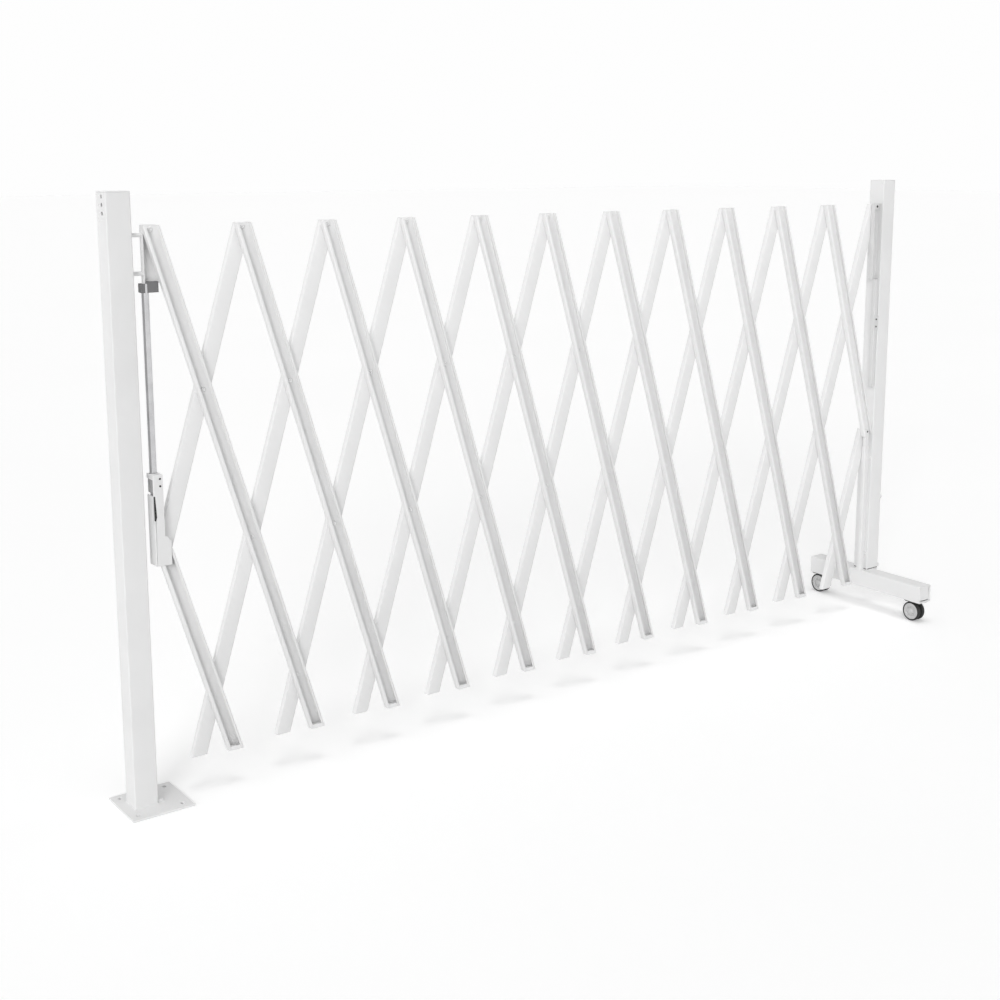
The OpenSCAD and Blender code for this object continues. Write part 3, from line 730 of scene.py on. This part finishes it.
# Moulded end plugs of the beam, with a shallow dished face
BEAM_WALL = 3 * MM
END_PLUG_SET = 5 * MM
END_PLUG_DEEP = 7 * MM
END_PLUG_CORNER = 2 * MM
END_PLUG_BORDER = 3.5 * MM
DISH_SLOPE = 1.2 * MM
DISH_DEEP = 0.9 * MM
beam_low, beam_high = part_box("castor_beam")
beam_middle = (beam_low + beam_high) / 2
inner = beam_high.x - beam_low.x - 2 * BEAM_WALL - 2 * PLUG_PLAY
for end_name, end_y, way in (("front", beam_low.y, 1), ("rear", beam_high.y, -1)):
    plug = bmesh.new()
    add_cube(plug, (beam_middle.x, end_y + way * END_PLUG_SET, beam_middle.z),
             (inner, END_PLUG_DEEP, inner))
    bmesh.ops.bevel(plug, geom=edges_along(plug, 1), offset=END_PLUG_CORNER, segments=4,
                    affect="EDGES")
    face = min(plug.faces, key=lambda f: way * f.calc_center_median().y)
    bmesh.ops.inset_region(plug, faces=[face], thickness=END_PLUG_BORDER)
    bmesh.ops.inset_region(plug, faces=[face], thickness=DISH_SLOPE, depth=-DISH_DEEP)
    piece("beam_plug_" + end_name, plug, "mobile_frame", "white_post")

# Small weld tab on the far side of the foot of the post
TAB_FROM_CORNER = Vector((5, 12, 7)) * MM
TAB_SIZE = Vector((10, 20, 12)) * MM
TAB_ROUND = 1.2 * MM
tab = bmesh.new()
add_cube(tab, Vector((foot_high.x, foot_low.y, foot_low.z)) + TAB_FROM_CORNER, TAB_SIZE)
bmesh.ops.bevel(tab, geom=tab.edges[:], offset=TAB_ROUND, segments=3, affect="EDGES")
piece("post_foot_tab", tab, "mobile_frame", "white_post")

# Screws of the collar on the guide rail
COLLAR_LOW = 996 * MM
COLLAR_SCREW = 3 * MM
COLLAR_SCREW_IN = 10 * MM
COLLAR_SCREW_UP = 12.5 * MM
COLLAR_SCREW_STEP = 25 * MM
rail_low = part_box("mobile_guide_rail")[0]
for i in range(2):
    screw("collar_screw_%d" % i, "mobile_frame",
          Vector((rail_low.x + COLLAR_SCREW_IN, rail_low.y,
                  COLLAR_LOW + COLLAR_SCREW_UP + COLLAR_SCREW_STEP * i)), -Y, COLLAR_SCREW)

# Black discs in the hollow ends of the pins of the bracket and of the slider: painted shade of
# their insides
BRACKET_PIN_BACK = 3 * MM
BRACKET_PIN_HOLE = 4 * MM
SLIDER_PIN_HOLE = 3.2 * MM
SLIDER_PIN_DEPTH = 0.3 * MM
bracket_pin = joint_at["pivot_mobile_frame"]
bracket_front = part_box("mobile_top_bracket")[0].y
hole_shade("bracket_pin_hole_shade", "mobile_frame",
       Vector((bracket_pin.x, bracket_front + BRACKET_PIN_BACK, bracket_pin.z)), -Y,
       BRACKET_PIN_HOLE)
hole_shade("slider_pin_hole_shade", body_of_node["rivets_10"], pin_end, -Y, SLIDER_PIN_HOLE,
       SLIDER_PIN_DEPTH)


# Castors. Profiles are radius and distance inward from the outer face, in mm. The radii of a
# tyre's sides count from the rim, those of its tread from the outer radius, the rest from the axle.

TREAD = 5.5 * MM
TYRE_SIDE = [(0, 1.6), (0.8, 0.2)]
TYRE_TREAD = [(-2.2, 0.3), (-0.7, 1.3), (0, 3.2), (0, 9.8), (-0.7, 11.7), (-2.2, 12.8)]
TYRE_BACK = [(0, 12.9), (-2, 12.2)]
INNER_DISC = [(9, 12.2), (8, 13), (0, 13)]
DISC_RIM = [(0, 3), (0, 1.3), (-0.6, 0.8), (-3.4, 0.8), (-4.4, 3.4), (-5.8, 4.6)]
DISC_FACE = [(18.5, 4.2), (17, 1.9), (15.6, 5.8), (12.4, 7.2), (11, 5.4), (10.2, 1.2),
             (8.8, 0.8), (7.4, 3.0), (6.4, 2.6), (4.5, 0.7), (0, 0.5)]
PLATE_BOLT = [(0, 0), (4, 0), (4, 1.6), (3.2, 2.2), (0, 2.2)]
CASTOR_TRAIL = 8 * MM
BOLT_FROM_STEM_X = 19 * MM
BOLT_FROM_STEM_Y = 25 * MM


def add_castor(side):
    """Twin castor: two tyres with black inner sides, two dished discs, leg and plate bolts."""
    wheels = side + "_wheels"
    low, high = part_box(side + "_castor_tyres")
    centre = (low + high) / 2
    radius = (high.z - low.z) / 2
    rim = radius - TREAD
    treads = bmesh.new()
    discs = bmesh.new()
    for way in (-1, 1):
        outer_face = Vector((centre.x + way * (high.x - centre.x), centre.y, centre.z))
        add_lathe(treads, in_mm(TYRE_SIDE, rim) + in_mm(TYRE_TREAD, radius)
                  + in_mm(TYRE_BACK, rim) + in_mm(INNER_DISC), outer_face, X * -way, steps=64)
        add_lathe(discs, in_mm(DISC_RIM, rim) + in_mm(DISC_FACE), outer_face, X * -way,
                  steps=48)
    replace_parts(piece(side + "_tyre_pair", treads, wheels, "tyre_rubber"), side + "_castor_tyres")
    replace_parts(piece(side + "_disc_pair", discs, wheels, "disc_grey"), side + "_castor_wheels")
    dress(side + "_castor_leg", edge=0.6 * MM)
    bolts = bmesh.new()
    stem_y = centre.y - CASTOR_TRAIL
    for dx in (-BOLT_FROM_STEM_X, BOLT_FROM_STEM_X):
        for dy in (-BOLT_FROM_STEM_Y, BOLT_FROM_STEM_Y):
            under_plate = Vector((centre.x + dx, stem_y + dy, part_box("castor_plates")[0].z))
            add_lathe(bolts, in_mm(PLATE_BOLT), under_plate, -Z, steps=6)
    piece(side + "_plate_bolts", bolts, "mobile_frame", "castor_black", BOLT_SMOOTH_DEG)


add_castor("front")
add_castor("rear")
dress("castor_plates", edge=0.5 * MM)


# Studio: white floor, soft light from the front left, camera of the photograph

FLOOR_GLOW = 0.221
FLOOR_REACH = 60.0
SKY_SEEN = 0.99

# Light of the sky: even at the horizon, less of it along this direction (right, front, up)
HORIZON = 1.02
FALL_OFF = (0.12, -0.14, 0.88)


def mirror_rays(tree):
    """1 for camera, glossy and transmission rays, which see the white background."""
    path = tree.nodes.new("ShaderNodeLightPath")
    total = path.outputs["Is Camera Ray"]
    for kind in ("Is Glossy Ray", "Is Transmission Ray"):
        add = tree.nodes.new("ShaderNodeMath")
        add.operation = "MAXIMUM"
        tree.links.new(total, add.inputs[0])
        tree.links.new(path.outputs[kind], add.inputs[1])
        total = add.outputs["Value"]
    return total


def floor_material():
    """Near-white floor that the camera sees as white, with the shadows on it."""
    material, tree, main, coords = shader("studio_floor")
    drift = noise(tree, coords, 0.7, 1.0)
    tree.links.new(tint(tree, drift, grey(0.93), grey(0.94)), main.inputs["Base Color"])
    main.inputs["Roughness"].default_value = 0.9
    main.inputs["Specular IOR Level"].default_value = 0.0
    glow = tree.nodes.new("ShaderNodeMath")
    glow.operation = "MULTIPLY"
    glow.inputs[1].default_value = FLOOR_GLOW
    tree.links.new(mirror_rays(tree), glow.inputs[0])
    main.inputs["Emission Color"].default_value = (1, 1, 1, 1)
    tree.links.new(glow.outputs["Value"], main.inputs["Emission Strength"])
    return material


floor_mesh = bpy.data.meshes.new("studio_floor")
floor_mesh.from_pydata([(-FLOOR_REACH, -FLOOR_REACH, 0), (FLOOR_REACH, -FLOOR_REACH, 0),
                        (FLOOR_REACH, FLOOR_REACH, 0), (-FLOOR_REACH, FLOOR_REACH, 0)],
                       [], [(0, 1, 2, 3)])
floor_mesh.materials.append(floor_material())
floor = bpy.data.objects.new("studio_floor", floor_mesh)
bpy.context.scene.collection.objects.link(floor)

world = bpy.data.worlds.new("studio")
bpy.context.scene.world = world
world.use_nodes = True
tree = world.node_tree
tree.nodes.clear()
out = tree.nodes.new("ShaderNodeOutputWorld")
seen = tree.nodes.new("ShaderNodeBackground")
lit = tree.nodes.new("ShaderNodeBackground")
seen.inputs["Color"].default_value = (1, 1, 1, 1)
seen.inputs["Strength"].default_value = SKY_SEEN
lit.inputs["Color"].default_value = (1, 1, 1, 1)
direction = tree.nodes.new("ShaderNodeTexCoord")
along = tree.nodes.new("ShaderNodeVectorMath")
along.operation = "DOT_PRODUCT"
along.inputs[1].default_value = FALL_OFF
tree.links.new(direction.outputs["Generated"], along.inputs[0])
strength = tree.nodes.new("ShaderNodeMath")
strength.operation = "SUBTRACT"
strength.inputs[0].default_value = HORIZON
tree.links.new(along.outputs["Value"], strength.inputs[1])
tree.links.new(strength.outputs["Value"], lit.inputs["Strength"])
mix = tree.nodes.new("ShaderNodeMixShader")
tree.links.new(mirror_rays(tree), mix.inputs["Fac"])
tree.links.new(lit.outputs["Background"], mix.inputs[1])
tree.links.new(seen.outputs["Background"], mix.inputs[2])
tree.links.new(mix.outputs["Shader"], out.inputs["Surface"])


def sun(name, energy, spread_deg, towards):
    """A soft sun that shines in a direction."""
    light = bpy.data.lights.new(name, "SUN")
    light.energy = energy
    light.angle = math.radians(spread_deg)
    made = bpy.data.objects.new(name, light)
    made.rotation_euler = Vector(towards).to_track_quat("-Z", "Y").to_euler()
    bpy.context.scene.collection.objects.link(made)


sun("key_left", 1.15, 22, (1.0, 0.95, -0.5))
sun("soft_top", 0.8, 24, (0.05, 0.1, -1.0))

# Camera, fitted to points of the photo: turned right by TURN and down by PITCH_DOWN, in degrees
PITCH_DOWN = 10.02
ROLL = 0.05
TURN = 36.47
camera_data = bpy.data.cameras.new("photo_camera")
camera_data.sensor_width = 36.0
camera_data.lens = 50.66
camera_data.shift_x = -0.005
camera_data.shift_y = -0.092
camera_data.clip_end = 200
camera = bpy.data.objects.new("photo_camera", camera_data)
camera.location = (-1.2219, -3.1734, 1.5809)
camera.rotation_euler = (math.radians(90 - PITCH_DOWN), math.radians(ROLL), math.radians(-TURN))
bpy.context.scene.collection.objects.link(camera)
bpy.context.scene.camera = camera
bpy.context.scene.view_settings.view_transform = "Standard"
